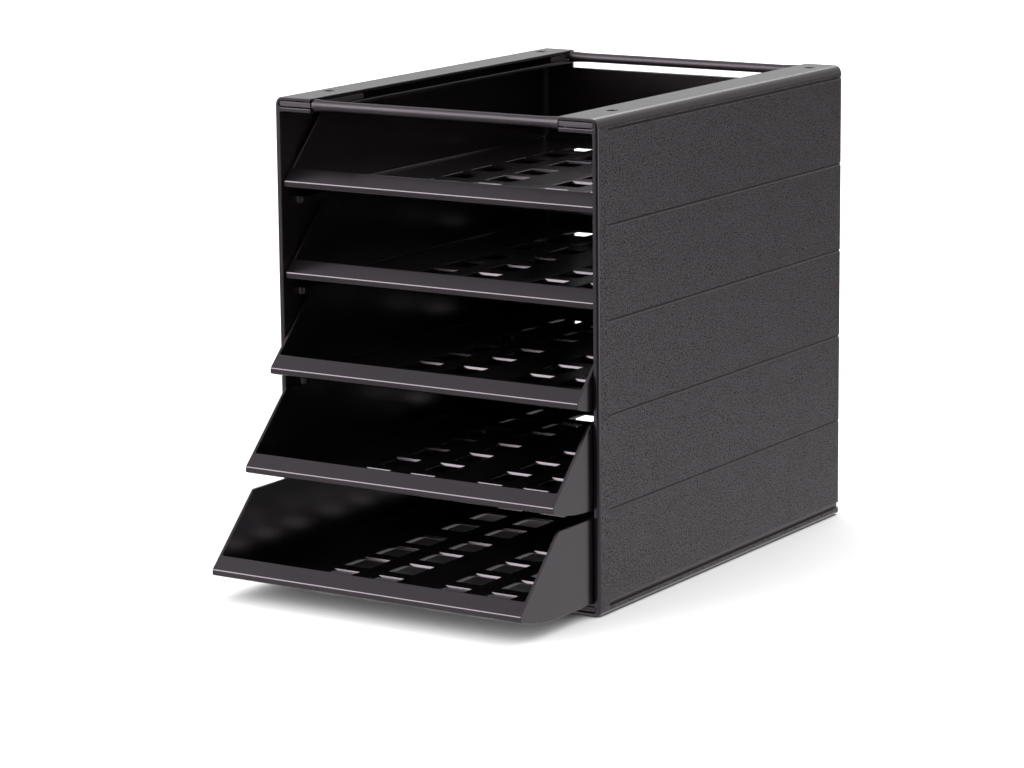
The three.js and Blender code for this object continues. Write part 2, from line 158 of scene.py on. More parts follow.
def prism(corners, axis, start, end, rims=(0, 0), segments=4, rim_segments=3):
    """an outline carried along an axis, the rims of its two ends rounded"""
    points, _ = fillet(corners, segments)
    normals = inward(points)
    rings = []
    for t, radius, sign in ((start, rims[0], 1), (end, rims[1], -1)):
        steps = range(rim_segments + 1) if radius else (0,)
        for i in steps[::sign]:
            angle = math.pi / 2 * i / rim_segments
            outline = points + normals * radius * (1 - math.sin(angle))
            rings.append(place(outline, t + sign * radius * (1 - math.cos(angle)), axis))
    return loft(rings)


def box(x, y, z, radius, axis, rim):
    """a box from three spans, its edges along the axis and its end rims rounded"""
    spans = {"x": x, "y": y, "z": z}
    start, end = spans.pop(axis)
    across, along = spans.values()
    return prism(rectangle(*across, *along, radius), axis, start, end, (rim, rim), 3)


def lathe(profile, segments, axis="z"):
    """profile (radius, t) from one end of the axis to the other; end radii may be 0"""
    points, faces, rings = [], [], []
    angles = np.arange(segments) * 2 * math.pi / segments
    for radius, t in profile:
        if radius <= 1e-9:
            rings.append([len(points)])
            points.append((0.0, 0.0, t))
        else:
            rings.append(list(range(len(points), len(points) + segments)))
            points.extend((radius * math.cos(a), radius * math.sin(a), t) for a in angles)
    for low, high in zip(rings, rings[1:]):
        for i in range(segments):
            j = (i + 1) % segments
            if len(low) == 1:
                faces.append((low[0], high[i], high[j]))
            elif len(high) == 1:
                faces.append((low[i], low[j], high[0]))
            else:
                faces.append((low[i], low[j], high[j], high[i]))
    if len(rings[0]) > 1:
        faces.append(tuple(reversed(rings[0])))
    if len(rings[-1]) > 1:
        faces.append(tuple(rings[-1]))
    return np.array(points)[:, COLUMNS[axis]], faces


def moved(part, offset):
    return part[0] + np.array(offset, float), part[1]


def make(name, parts):
    """one object from a list of parts, normals outward"""
    points, faces, base = [], [], 0
    for part_points, part_faces in parts:
        points.append(part_points)
        faces.extend(tuple(i + base for i in face) for face in part_faces)
        base += len(part_points)
    mesh = bpy.data.meshes.new(name)
    mesh.from_pydata(np.concatenate(points).tolist(), [], faces)
    edit = bmesh.new()
    edit.from_mesh(mesh)
    bmesh.ops.remove_doubles(edit, verts=edit.verts, dist=1e-5)
    bmesh.ops.dissolve_degenerate(edit, dist=1e-5, edges=edit.edges)
    bmesh.ops.recalc_face_normals(edit, faces=edit.faces)
    edit.to_mesh(mesh)
    edit.free()
    return link_object(name, mesh)


def link_object(name, data):
    piece = bpy.data.objects.new(name, data)
    bpy.context.scene.collection.objects.link(piece)
    return piece


def duplicate(piece, name):
    return link_object(name, piece.data.copy())


def modify(piece, kind, **settings):
    """adds a modifier and applies it"""
    modifier = piece.modifiers.new("modifier", kind)
    for key, value in settings.items():
        setattr(modifier, key, value)
    bpy.context.view_layer.update()
    graph = bpy.context.evaluated_depsgraph_get()
    mesh = bpy.data.meshes.new_from_object(
        piece.evaluated_get(graph), preserve_all_data_layers=True, depsgraph=graph)
    piece.modifiers.clear()
    old = piece.data
    piece.data = mesh
    bpy.data.meshes.remove(old)


def combine(base, tool, operation):
    """boolean of two objects; the tool is used up"""
    modify(base, "BOOLEAN", operation=operation, solver="EXACT", object=tool)
    mesh = tool.data
    bpy.data.objects.remove(tool)
    bpy.data.meshes.remove(mesh)


def cut(base, parts):
    combine(base, make("tool", parts), "DIFFERENCE")


def add(base, parts):
    combine(base, make("tool", parts), "UNION")


def tidy(piece, distance=2e-4):
    """merges close vertices and dissolves edges between coplanar faces"""
    edit = bmesh.new()
    edit.from_mesh(piece.data)
    bmesh.ops.remove_doubles(edit, verts=edit.verts, dist=distance)
    bmesh.ops.dissolve_degenerate(edit, dist=distance, edges=edit.edges)
    flat = [e for e in edit.edges if len(e.link_faces) == 2 and e.calc_face_angle(9) < 1e-4
            and e.link_faces[0].material_index == e.link_faces[1].material_index]
    bmesh.ops.dissolve_edges(edit, edges=flat, use_verts=False, use_face_split=False)
    edit.to_mesh(piece.data)
    edit.free()


def settle(piece, shift=(0, 0, 0), flip=False, sharp=42):
    """from millimetres to the frame, mirrored in x if asked, with weighted normals"""
    scale = Matrix.Diagonal((-0.001 if flip else 0.001, 0.001, 0.001, 1))
    offset = Vector((shift[0], shift[1] + FRONT, shift[2])) * 0.001
    piece.data.transform(Matrix.Translation(offset) @ scale)
    if flip:
        piece.data.flip_normals()
    piece.data.shade_smooth()
    piece.data.set_sharp_from_angle(angle=math.radians(sharp))
    modify(piece, "WEIGHTED_NORMAL", keep_sharp=True, weight=60, mode="FACE_AREA")


# ------------------------------------------------------------------ sides

RIM = 0.38                  # rim radius of the thin flanges
WALL_RIM = (2.1, 2.4)       # rim radii of the outer wall, front and rear
LOW_RIM = (2.0, 2.1)        # the same at the bottom edge
LOW_TOP = 24.0              # up to here the rear rim grows to its full radius
PANEL_SINK = 0.18           # the grained panel sits this far behind its plain border
PANEL_FRONT = 12.45
RIM_STEPS = 6

# y, share of the groove depth, share of the panel's sink
STATIONS = [
    (7.0, 0, 0), (12.3, 0, 0), (12.55, 0.25, 0.7), (12.9, 0.7, 1),
    (13.5, 1, 1), (30, 1, 1), (170, 1, 1), (310, 1, 1),
]

RUNNER_IN = INNER - 8       # inner edge of the runners
RUNNER_FRONT = 11.5
RUNNER_UNDER, RUNNER_OVER = -3.0, 1.6       # faces of a runner from its groove's height
BOSS_IN = INNER - 15.9
BOSS_Y = (78.5, 84.5)

HOLE_R = 3.7
# countersunk rim of a screw hole: radius, height outward from the face
HOLE_RIM = [(HOLE_R, -0.45), (3.82, -0.2), (4.15, 0.05), (5.2, 0.8)]


def side_corners():
    """section of the right side in x and z, from the top flange's inner edge down the outside"""
    corners = [(RAIL_IN, HEIGHT, 0.5, 3), (HALF_W, HEIGHT, R_TOP, 12)]
    half, deep = 1.1, 1.4                   # V-grooves
    for z in [TOP_GROOVE, *reversed(GROOVES[1:])]:
        corners += [(HALF_W, z + half, 0.25, 2), (HALF_W - deep, z, 0.25, 2),
                    (HALF_W, z - half, 0.25, 2)]
    z = GROOVES[0]                          # flat-bottomed groove
    mouth, bed, deep = 1.9, 1.8, 2.2
    corners += [
        (HALF_W, LOW_TOP, 0), (HALF_W, 14.0, 0),
        (HALF_W, z + mouth, 0.3, 2), (HALF_W - deep, z + bed, 0.3, 2),
        (HALF_W - deep, z - bed, 0.3, 2), (HALF_W, z - mouth, 0.3, 2),
        (HALF_W, GAP, R_BOTTOM, 6),
        (RAIL_IN, GAP, 0.45, 3), (RAIL_IN, BOTTOM_SLOT, 0.45, 3),
        (SLOT_X, BOTTOM_SLOT, 2.35, 6), (SLOT_X, BOTTOM_SLOT_END, 2.35, 6),
        (RAIL_IN, BOTTOM_SLOT_END, 0.45, 3), (RAIL_IN, BOTTOM_OVER, 0.5, 3),
        (INNER, BOTTOM_OVER, 1.0, 4), (INNER, TOP_UNDER, 1.0, 4),
        (RAIL_IN, TOP_UNDER, 0.5, 3), (RAIL_IN, TOP_SLOT, 0.5, 3),
        (SLOT_X, TOP_SLOT, 2.35, 6), (SLOT_X, TOP_SLOT_END, 2.35, 6),
        (RAIL_IN, TOP_SLOT_END, 0.45, 3),
    ]
    return corners


def side_outline():
    """the section without its grooves; each point's inward direction, groove depth, front and
    rear rim radii, and whether it is on the panel"""
    corners = side_corners()
    points, sources = fillet(corners)
    x, z = points.T
    wall = (x > HALF_W - 2.4) & (z < HEIGHT - R_TOP + 0.01) & (z > GAP + R_BOTTOM - 0.01)
    depth = np.where(wall, HALF_W - x, 0.0)
    base = points.copy()
    base[wall, 0] = HALF_W
    normals = inward(points)
    normals[wall] = (-1.0, 0.0)
    front = np.where(wall, WALL_RIM[0], RIM)
    rear = np.where(wall, WALL_RIM[1], RIM)
    low = wall & (z < LOW_TOP)
    growth = np.clip((z[low] - (GAP + R_BOTTOM)) / 20, 0, 1)
    rear[low] = LOW_RIM[1] + (WALL_RIM[1] - LOW_RIM[1]) * growth

    # round the two outer edges the rims grow from the flange's to the wall's
    # corner: radius, height of its centre, sign, rim radii at the wall
    edges = {
        (HALF_W, HEIGHT): (R_TOP, HEIGHT - R_TOP, -1, WALL_RIM),
        (HALF_W, GAP): (R_BOTTOM, GAP + R_BOTTOM, 1, LOW_RIM),
    }
    for i in np.flatnonzero(~wall):
        corner = corners[sources[i]][:2]
        if corner not in edges:
            continue
        radius, centre_z, sign, rims = edges[corner]
        toward = np.array([HALF_W - radius, centre_z]) - points[i]
        share = math.acos(min(1, max(-1, sign * toward[1] / radius))) / (math.pi / 2)
        if sign < 0:
            share = share * share * (3 - 2 * share)
        normals[i] = toward / np.linalg.norm(toward)
        front[i] = RIM + (rims[0] - RIM) * share
        rear[i] = RIM + (rims[1] - RIM) * share
    panel = wall & (z > GROOVES[0] + 1.6) & (z < TOP_GROOVE - 0.8)
    return base, normals, depth, front, rear, panel


def side_body():
    base, normals, depth, front, rear, panel = side_outline()
    flat = (normals[:, 1] == 0) & (normals[:, 0] == -1)

    def ring(y, round_off, fade, sink):
        outline = base.copy()
        inset = depth * fade + np.where(panel, PANEL_SINK * sink, 0) * (depth < 1.0)
        outline[~flat] += normals[~flat] * round_off[~flat, None]
        outline[flat, 0] -= np.maximum(inset, round_off)[flat]
        return place(outline, y, "y")

    angles = [math.pi / 2 * i / RIM_STEPS for i in range(RIM_STEPS + 1)]
    rings = [ring(front * (1 - math.cos(a)), front * (1 - math.sin(a)), 0, 0) for a in angles]
    rings += [ring(y, np.zeros(len(base)), fade, sink) for y, fade, sink in STATIONS]
    rings += [ring(DEPTH - rear * (1 - math.cos(a)), rear * (1 - math.sin(a)), 1, 1)
              for a in reversed(angles)]
    return make("side_right_shell", [loft(rings)])


def thin_wall(side):
    """recesses in the inner face between the runners"""
    lows = [BOTTOM_OVER + 3] + [z + 3.6 for z in GROOVES[1:]]
    highs = [z - 6.0 for z in GROOVES[1:]] + [TOP_UNDER - 4]
    cut(side, [prism(rectangle(17.0, DEPTH - 14, low, high, 2.0), "x", INNER - 1, THIN_X, (0, 0.8))
               for low, high in zip(lows, highs)])


def add_rear_flange(side):
    corners = rectangle(RAIL_IN, INNER + 1.2, DEPTH - REAR_T, DEPTH - 0.02, 0.5, 0)
    add(side, [prism(corners, "z", BOTTOM_OVER - 0.6, TOP_UNDER + 0.6, segments=3)])


def add_runners(side):
    """runners with a rounded nose, and the stop boss on each"""
    back = DEPTH - REAR_T + 0.4
    runner = [(INNER + 1, RUNNER_FRONT, 0), (INNER + 1, back, 0),
              (RUNNER_IN, back, 0), (RUNNER_IN, RUNNER_FRONT, 4.0, 8)]
    boss = rectangle(BOSS_IN, RUNNER_IN + 1, *BOSS_Y, 1.2, 0)
    for z in GROOVES[1:]:
        for corners, inset in ((runner, 0), (boss, 0.02)):
            under, over = z + RUNNER_UNDER + inset, z + RUNNER_OVER - inset
            add(side, [prism(corners, "z", under, over, (0.5, 0.5))])


def cut_lug_slot(side):
    """slot in the bottom flange for the lowest drawer's stop lug"""
    corners = rectangle(104.2, 111.8, 84.1, DEPTH - REAR_T - 0.6, 1.0)
    cut(side, [prism(corners, "z", BOTTOM_SLOT_END - 0.3, BOTTOM_OVER + 1)])


def cut_fixings(side):
    """screw holes and pilot holes through both flanges, and the foot sockets"""
    top = [(HOLE_R, TOP_SLOT_END - 0.5)] + [(r, HEIGHT + rise) for r, rise in HOLE_RIM]
    top_pilot = [(PILOT_R, TOP_UNDER - 1), (PILOT_R, TOP_SLOT + 0.5)]
    bottom = [(r, GAP - rise) for r, rise in reversed(HOLE_RIM)] + [(HOLE_R, BOTTOM_SLOT + 0.5)]
    bottom_pilot = [(PILOT_R, BOTTOM_SLOT_END - 0.5), (PILOT_R, BOTTOM_OVER + 1)]
    socket = [(2.9, GAP - 1), (2.9, BOTTOM_SLOT + 0.5)]
    tools = []
    for y in SCREW_Y.values():
        for profile, segments in ((top, 40), (top_pilot, 20), (bottom, 40), (bottom_pilot, 20)):
            tools.append(moved(lathe(profile, segments), (FIXING_X, y, 0.0)))
    for y in FOOT_Y.values():
        tools.append(moved(lathe(socket, 24), (FIXING_X, y, 0.0)))
    cut(side, tools)


def build_side():
    side = side_body()
    thin_wall(side)
    add_rear_flange(side)
    add_runners(side)
    cut_lug_slot(side)
    cut_fixings(side)
    tidy(side)
    return side


def paint_side(side):
    """second material on the grained panel and the band behind it"""
    for face in side.data.polygons:
        x, y, z = abs(face.center.x) * 1000, face.center.y * 1000 - FRONT, face.center.z * 1000
        level = GROOVES[0] + 1.9 < z < TOP_GROOVE - 1.0
        panel = x > HALF_W - 0.6 and abs(face.normal.x) > 0.9 and y > PANEL_FRONT
        band = (x > HALF_W - 3.2 and DEPTH - 4.2 < y < DEPTH - 0.6
                and abs(face.normal.z) < 0.5)
        face.material_index = int(level and (panel or band))


# ------------------------------------------------------------------ crossbars

BAR_R = 3.35
BAR_END_R = 4.1
BAR_FLARE = 18.0            # length over which each end widens
BAR_INSET = 4.7             # centre line from the housing's front and rear
TONGUE_HALF = 1.85          # half the tongue's thickness
TONGUE_ROOT = 95.8
# end: centre line y, and the tongue's span from it
BARS = {"front": (BAR_INSET, (-4.1, 57.3)), "rear": (DEPTH - BAR_INSET, (-26.3, 4.1))}
BAR_Z = {"top": TOP_SLOT + SLOT_H / 2, "bottom": BOTTOM_SLOT + SLOT_H / 2}


def build_bar(tongue_y, screw_y):
    """lathed bar with flared ends and a flat tongue at each; y = 0, z = 0 is its centre line"""
    half = RAIL_IN - 0.5
    profile = [(0, -half), (BAR_END_R - 0.6, -half), (BAR_END_R - 0.18, -half + 0.18),
               (BAR_END_R, -half + 0.6)]
    for i in range(1, 13):
        t = i / 12
        profile.append((BAR_R + (BAR_END_R - BAR_R) * (1 - t) ** 2, -half + BAR_FLARE * t))
    profile.append((BAR_R, 0))
    profile += [(radius, -t) for radius, t in reversed(profile[:-1])]
    bar = make("bar", [lathe(profile, 48, "x")])
    end = SLOT_X - 0.35
    thick = TONGUE_HALF
    for side in (1, -1):
        corners = [(side * TONGUE_ROOT, -thick, 0.35, 3), (side * end, -thick, thick - 0.02, 7),
                   (side * end, thick, thick - 0.02, 7), (side * TONGUE_ROOT, thick, 0.35, 3)]
        tongue = make("tongue", [prism(corners, "y", *tongue_y, (0.45, 0.45), 3)])
        neck = sorted((side * (half - 2), side * (TONGUE_ROOT + 2)))
        add(tongue, [box(neck, (-3.4, 3.4), (-thick + 0.06, thick - 0.06), 0.4, "x", 0.05)])
        hole = lathe([(PILOT_R, -thick - 1), (PILOT_R, thick + 1)], 20)
        cut(tongue, [moved(hole, (side * FIXING_X, screw_y, 0))])
        combine(bar, tongue, "UNION")
    tidy(bar)
    return bar


# ------------------------------------------------------------------ drawer
# its own frame: x = 0 in the middle, y = 0 at the front edge, z = 0 under the floor

DRAWER_HALF = 239.4 / 2
DRAWER_L = 325.5
DRAWER_H = 56.0
DRAWER_WALL = 2.1
DRAWER_FLOOR = 2.2
NOSE_Z = 10.9               # top of the front edge, where the slanted edge starts
NOSE_UNDER = NOSE_Z - 4.0   # height the underside curves up to at the front
LIP = 7.8                   # height of the sloping front wall above the nose
SLANT = 45.5                # depth over which the side walls rise to full height
RAMP_L = 45.0
REAR_DROP = 1.2             # the rear wall is this much lower
LUG_X = (105.3, 111.0)
LUG_L = 6
HOLE_X = [-62, -26.5, 26.5, 62]
HOLE_HALF = 10.0
HOLE_L = 25
ROW_PITCH = 36
HOLE_ROWS = ([71.5 + ROW_PITCH * k for k in range(4)]
             + [224 + ROW_PITCH * k for k in range(3)])      # rear edges of the openings
BEVEL = 0.42
DRAWER_Y = 2.0              # a closed drawer's place from the front face
DRAWER_RISE = 1.9           # its floor above its groove's height
PULLED = [0, 0, 20, 50, 89]     # how far each drawer is out, from the top


def ramp_corners(offset, start=0.5, steps=16):
    """the curve of the floor up to the nose, from front to back"""
    shares = [(i / steps) ** 0.9 for i in range(steps + 1)]
    return [(start + (RAMP_L - start) * t, NOSE_UNDER * (1 - t) ** 2 + offset, 0) for t in shares]


def keep_plan(piece, half, back, front, radius, segments, top):
    """trims a piece to a plan with rounded rear corners; the front is left wide"""
    wide, step = half + 4, front + 4
    corners = [(-wide, -front, 0), (wide, -front, 0), (wide, front, 0), (half, step, 0),
               (half, back, radius, segments), (-half, back, radius, segments),
               (-half, step, 0), (-wide, front, 0)]
    combine(piece, make("tool", [prism(corners, "z", -20, top)]), "INTERSECT")


def drawer_block():
    corners = [(0.0, NOSE_UNDER + 0.25, 0.7, 3), *ramp_corners(0.0)[1:],
               (DRAWER_L, 0, 1.6, 5), (DRAWER_L, DRAWER_H, 0.0),
               (SLANT, DRAWER_H, 3.0, 6), (0.0, NOSE_Z, 1.5, 7)]
    block = make("drawer", [prism(corners, "x", -DRAWER_HALF, DRAWER_HALF)])
    keep_plan(block, DRAWER_HALF, DRAWER_L, 30, 6.0, 8, DRAWER_H + 20)
    return block


def drawer_cavity():
    """the inside, open at the top and over the lip, with fillets along the walls"""
    floor = DRAWER_FLOOR
    slope = math.atan2(DRAWER_H - NOSE_Z, SLANT)
    crest = NOSE_Z + LIP
    run = SLANT * LIP / (DRAWER_H - NOSE_Z)
    half, back = DRAWER_HALF - DRAWER_WALL, DRAWER_L - DRAWER_WALL
    corners = [(-12, crest, 0), (run + 0.15, crest, 0),
               (run + floor * math.sin(slope) - 0.1, crest - 0.75, 0.5, 3),
               (floor * math.sin(slope) + 0.2, NOSE_Z - floor * math.cos(slope) + 0.6, 2.0, 5)]
    corners += [corner for corner in ramp_corners(floor + 0.05) if corner[0] > 4.5]
    corners += [(back, floor, 3.0, 6), (back, DRAWER_H + 12, 0), (-12, DRAWER_H + 12, 0)]
    cavity = make("cavity", [prism(corners, "x", -half, half, (1.3, 1.3), rim_segments=5)])
    keep_plan(cavity, half, back, 40, 4.2, 7, DRAWER_H + 30)
    return cavity


def floor_opening(x, y):
    """tool for one opening, a little wider at the top; y is its rear edge"""
    points, _ = fillet(rectangle(x - HOLE_HALF, x + HOLE_HALF, y - HOLE_L, y, 0.4), 3)
    normals = inward(points)
    rings = []
    for z, widen in ((-1.0, 0.02), (DRAWER_FLOOR + 1, 0.22)):
        outline = points - normals * widen
        rear = outline[:, 1] > y - 12
        outline[rear, 1] += 0.24 * (z - DRAWER_FLOOR)
        rings.append(place(outline, z, "z"))
    return loft(rings)


def build_drawer():
    drawer = drawer_block()
    combine(drawer, drawer_cavity(), "DIFFERENCE")
    rear_x = DRAWER_HALF - 8
    cut(drawer, [box((-rear_x, rear_x), (DRAWER_L - 12, DRAWER_L + 5),
                     (DRAWER_H - REAR_DROP, DRAWER_H + 9), 0.9, "y", 0)])
    # stop lugs under the rear of the floor
    start = DRAWER_L - DRAWER_WALL - 5.9
    add(drawer, [box(span, (start, start + LUG_L), (-2.2, 0.6), 0.7, "z", 0.3)
                 for span in (LUG_X, (-LUG_X[1], -LUG_X[0]))])
    cut(drawer, [floor_opening(x, y) for x in HOLE_X for y in HOLE_ROWS])
    tidy(drawer)
    modify(drawer, "BEVEL", width=BEVEL, segments=3, limit_method="ANGLE",
           angle_limit=math.radians(38), use_clamp_overlap=False, offset_type="OFFSET",
           miter_outer="MITER_SHARP")
    return drawer


# ------------------------------------------------------------------ screws and feet

# radius, z; z = 0 under the screw's head
SCREW_TIP = [(0, -6.2), (0.35, -6.2), (1.35, -5.0), (1.5, -4.8)]
SCREW_PAN = [
    (1.5, -0.12), (1.5, 0), (3.05, 0), (3.2, 0.12), (3.2, 0.55), (3.13, 0.82),
    (2.9, 1.08), (2.45, 1.29), (1.7, 1.43), (0.8, 1.49), (0, SCREW_HEAD),
]
THREAD_PITCH = 0.75
# one arm of the cross recess: x, y, radius; and the recess's scale at each z
CROSS_ARM = [(0.34, 0.34, 0.12), (0.34, 1.75, 0.2), (-0.34, 1.75, 0.2)]
CROSS_LEVELS = [(0.55, 0.45), (0.9, 0.8), (1.0, 1.25), (1.05, 2.2)]
# radius, z; z = 0 at the foot's lower face
FOOT = [
    (0, 0), (5.6, 0), (6.35, 0.06), (6.75, 0.2), (6.95, 0.42), (7.0, 0.62), (6.95, 0.78),
    (6.8, 0.88), (6.6, 0.9), (2.6, 0.9), (2.6, 2.0), (2.4, 2.2), (0, 2.2),
]


def build_screw():
    profile = list(SCREW_TIP)
    z = -4.6
    while z < -0.5:
        profile += [(1.5, z), (1.2, z + 0.2), (1.2, z + 0.3), (1.5, z + 0.5)]
        z += THREAD_PITCH
    screw = make("screw", [lathe(profile + SCREW_PAN, 40)])
    quarter_turns = ((1, 0), (0, 1), (-1, 0), (0, -1))      # cosine, sine
    cross, _ = fillet([(x * cos - y * sin, x * sin + y * cos, radius)
                       for cos, sin in quarter_turns for x, y, radius in CROSS_ARM], 2)
    cut(screw, [loft([place(cross * scale, z, "z") for scale, z in CROSS_LEVELS])])
    tidy(screw, 5e-4)
    return screw


def build_foot():
    foot = make("foot", [lathe(FOOT, 48)])
    tidy(foot, 5e-4)
    return foot


# ------------------------------------------------------------------ node graphs

class Graph:
    """node tree of a material or world; values given to it are numbers or sockets"""

    def __init__(self, owner, output="OutputMaterial"):
        owner.use_nodes = True
        self.owner = owner
        self.tree = owner.node_tree
        self.tree.nodes.clear()
        self.output = self.node(output)

    def plug(self, socket, value):
        if isinstance(value, bpy.types.NodeSocket):
            self.tree.links.new(value, socket)
        else:
            socket.default_value = value

    def set(self, node, *values, **named):
        """inputs by position, or by name with _ for a space"""
        for i, value in enumerate(values):
            self.plug(node.inputs[i], value)
        for key, value in named.items():
            self.plug(node.inputs[key.replace("_", " ")], value)
        return node

    def node(self, kind, *values, props=None, **named):
        node = self.tree.nodes.new("ShaderNode" + kind)
        for key, value in (props or {}).items():
            setattr(node, key, value)
        return self.set(node, *values, **named)

    def finish(self, shader):
        self.set(self.output, shader.outputs[0])
        return self.owner

    def math(self, operation, *values, clamp=False):
        props = {"operation": operation, "use_clamp": clamp}
        return self.node("Math", *values, props=props).outputs[0]

    def vector(self, operation, *values, **named):
        return self.node("VectorMath", *values, props={"operation": operation}, **named)

    def swing(self, value, amount):
        """a value about 0.5 turned into one about 0"""
        return self.math("MULTIPLY", self.math("SUBTRACT", value, 0.5), amount)

    def ramp(self, value, low, high, start=0.0, end=1.0):
        """smooth step from start to end as the value goes from low to high"""
        props = {"interpolation_type": "SMOOTHSTEP"}
        return self.node("MapRange", value, low, high, start, end, props=props).outputs[0]

    def mix(self, factor, first, second, kind="RGBA"):
        first_input, output = {"RGBA": (6, 2), "FLOAT": (2, 0)}[kind]
        node = self.node("Mix", factor, props={"data_type": kind})
        self.plug(node.inputs[first_input], first)
        self.plug(node.inputs[first_input + 1], second)
        return node.outputs[output]

    def coords(self, scale=(1, 1, 1)):
        """object coordinates, moved by the object's own number so that equal pieces differ"""
        coords = self.node("TexCoord").outputs["Object"]
        number = self.node("ObjectInfo").outputs["Random"]
        combined = self.node("CombineXYZ", number, number, number).outputs[0]
        shifted = self.vector("MULTIPLY_ADD", combined, (3.1, 1.7, 2.3), coords).outputs[0]
        return self.vector("MULTIPLY", shifted, scale).outputs[0]

    def noise(self, coords, scale, detail=3.0, rough=0.55):
        return self.node("TexNoise", Vector=coords, Scale=scale, Detail=detail,
                         Roughness=rough).outputs[0]

    def bump(self, **inputs):
        return self.node("Bump", **inputs).outputs[0]


# ------------------------------------------------------------------ materials

TINT = (1.0, 0.80, 0.92)            # cast of the black
SHEEN = (1.0, 0.86, 0.97, 1)        # and of its reflections
# paler colour for the rounded edges: a painted highlight, the sheen along the edges
PAINTED_EDGE_SHEEN = (0.030, 0.026, 0.029, 1)
DARK_AZIMUTH = 29                   # degrees from the front to the right; the room is dark here
STRIP_AZIMUTH = 98                  # and has a strip light here


def plastic(name, shade, rough, grain, grain_scale, haze, wear_and_edge_sheen, fine=0.02, relief=0.00012,
            sparkle=0.0):
    """black moulded plastic: cloudy sheen, fine surface grain, scratches, and rounded edges
    painted paler as a highlight

    rough is varied by haze (clouds) and fine (grain); grain and relief are the strength and
    height in metres of the grain's bump; the wear and edge sheen strength scales the scratches,
    the lower roughness on the edges and the painted highlight that makes the edges paler; sparkle
    varies the specular level.
    """
    graph = Graph(bpy.data.materials.new(name))
    shader = graph.node("BsdfPrincipled", IOR=1.5, Specular_Tint=SHEEN)
    coords = graph.coords()
    cloud = graph.noise(coords, 14.0, detail=4.0)
    patch = graph.noise(coords, 60.0)
    speck = graph.noise(coords, grain_scale, detail=2.0, rough=0.5)
    # scratches: noise drawn out along the depth of the box
    scratch = graph.noise(graph.coords((900.0, 26.0, 900.0)), 1.0, detail=2.0)
    scratch = graph.ramp(scratch, 0.70, 0.78)
    # edges, where the colour is painted paler as a highlight: the rounded normal against the
    # face's own
    rounded = graph.node("Bevel", props={"samples": 4}, Radius=0.0009).outputs[0]
    normal = graph.node("NewGeometry").outputs["Normal"]
    likeness = graph.vector("DOT_PRODUCT", rounded, normal).outputs["Value"]
    edge = graph.ramp(likeness, 0.995, 0.90)
    edge = graph.math("MULTIPLY", edge, graph.ramp(patch, 0.35, 0.62))

    level = graph.math("ADD", rough, graph.swing(cloud, haze * 2))
    level = graph.math("ADD", level, graph.swing(speck, fine * 2))
    level = graph.math("SUBTRACT", level, graph.math("MULTIPLY", scratch, 0.10 * wear_and_edge_sheen))
    level = graph.math("SUBTRACT", level, graph.math("MULTIPLY", edge, 0.05 * wear_and_edge_sheen), clamp=True)

    base = [shade * channel for channel in TINT]
    blend = graph.math("ADD", graph.math("MULTIPLY", cloud, 0.55),
                       graph.math("MULTIPLY", speck, 0.45))
    colour = graph.mix(graph.ramp(blend, 0.35, 0.65),
                       (*[c * 0.78 for c in base], 1), (*[c * 1.25 for c in base], 1))
    # painted highlight: the rounded edges are mixed towards a paler colour
    colour = graph.mix(graph.math("MULTIPLY", edge, 0.30 * wear_and_edge_sheen), colour, PAINTED_EDGE_SHEEN)
    graph.set(shader, Roughness=level, Base_Color=colour)

    if sparkle > 0:
        coarse = graph.noise(coords, grain_scale * 0.8, detail=1.0)
        glitter = graph.math("ADD", graph.math("SUBTRACT", speck, 0.5),
                             graph.math("SUBTRACT", coarse, 0.5))
        glitter = graph.math("ADD", glitter, graph.swing(patch, 0.06))
        glitter = graph.math("MULTIPLY", glitter, sparkle)
        graph.set(shader, Specular_IOR_Level=graph.math("ADD", 0.5, glitter, clamp=True))

    waves = graph.bump(Strength=0.10, Distance=0.00025, Height=patch)
    coarse_grain = graph.noise(coords, grain_scale * 0.45, detail=2.0)
    height = graph.math("ADD", speck, graph.math("MULTIPLY", coarse_grain, 0.6))
    graph.set(shader, Normal=graph.bump(Strength=grain, Distance=relief, Height=height,
                                        Normal=waves))
    return graph.finish(shader)


def mottled(name, dark, pale, patch_scale, patch_end, grain_scale, grain_detail, rough,
            bump, metallic=0.0):
    """patches of two colours under a fine grain; rough is a range, bump strength and height"""
    graph = Graph(bpy.data.materials.new(name))
    shader = graph.node("BsdfPrincipled", Metallic=metallic)
    coords = graph.coords()
    grain = graph.noise(coords, grain_scale, detail=grain_detail)
    patch = graph.noise(coords, patch_scale)
    graph.set(
        shader,
        Base_Color=graph.mix(graph.ramp(patch, 0.35, patch_end), dark, pale),
        Roughness=graph.ramp(grain, 0.3, 0.7, *rough),
        Normal=graph.bump(Strength=bump[0], Distance=bump[1], Height=grain))
    return graph.finish(shader)


def floor_shade(graph, x, y):
    """contact shadow, and the dark deep under the housing where no light gets in"""
    occlusion = graph.node("AmbientOcclusion", props={"samples": 12}, Distance=0.010)
    low = graph.ramp(occlusion.outputs["AO"], 0.05, 0.60, 0.25, 1.0)
    side_weight = 1.0
    outside = graph.ramp(graph.math("ABSOLUTE", x), 0.095, 0.115)
    lit = graph.math("MULTIPLY", outside, side_weight)
    for start, end in ((30.0, -35.0), (150.0, 240.0)):      # towards the front, the back
        ahead = graph.ramp(y, (FRONT + start) / 1000.0, (FRONT + end) / 1000.0)
        lit = graph.math("MAXIMUM", lit, ahead)
    return graph.math("MULTIPLY", low, graph.ramp(lit, 0.0, 1.0, 0.22, 1.0))


